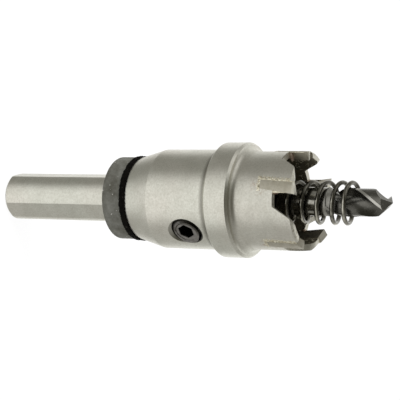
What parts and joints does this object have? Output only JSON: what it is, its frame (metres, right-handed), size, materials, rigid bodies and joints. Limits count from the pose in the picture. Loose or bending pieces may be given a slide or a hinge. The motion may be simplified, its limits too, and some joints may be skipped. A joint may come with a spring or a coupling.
{
  "type": "carbide_tipped_hole_saw",
  "caption": "Carbide-tipped hole saw: stepped steel body with a three-flat shank, stop shoulder, split-point pilot drill, ejector spring and a rubber collar behind the body.",
  "frame": {"origin": "centre of the flat rear end of the shank, on the tool's axis", "axes": "+Z runs along the tool's axis from the shank to the pilot's point; the five teeth cut clockwise seen from the shank"},
  "size_m": [0.026, 0.026, 0.0972],
  "materials": {
    "satin_steel": "satin turned steel",
    "plated_screw": "zinc plated steel",
    "drill_steel": "dark tempered high-speed steel",
    "spring_steel": "drawn spring wire",
    "carbide": "ground sintered carbide",
    "braze": "silver braze",
    "grey_rubber": "matt rubber with pale dust",
    "black_gasket": "soft black rubber"
  },
  "bodies": {
    "root": {"cutter_body": "satin_steel", "rubber_collar": "grey_rubber", "collar_gasket": "black_gasket", "set_screw": "plated_screw", "pilot_drill": "drill_steel", "ejector_spring": "spring_steel", "carbide_tip_1": "carbide", "carbide_tip_2": "carbide", "carbide_tip_3": "carbide", "carbide_tip_4": "carbide", "carbide_tip_5": "carbide", "braze_joint_1": "braze", "braze_joint_2": "braze", "braze_joint_3": "braze", "braze_joint_4": "braze", "braze_joint_5": "braze"}
  },
  "joints": []
}
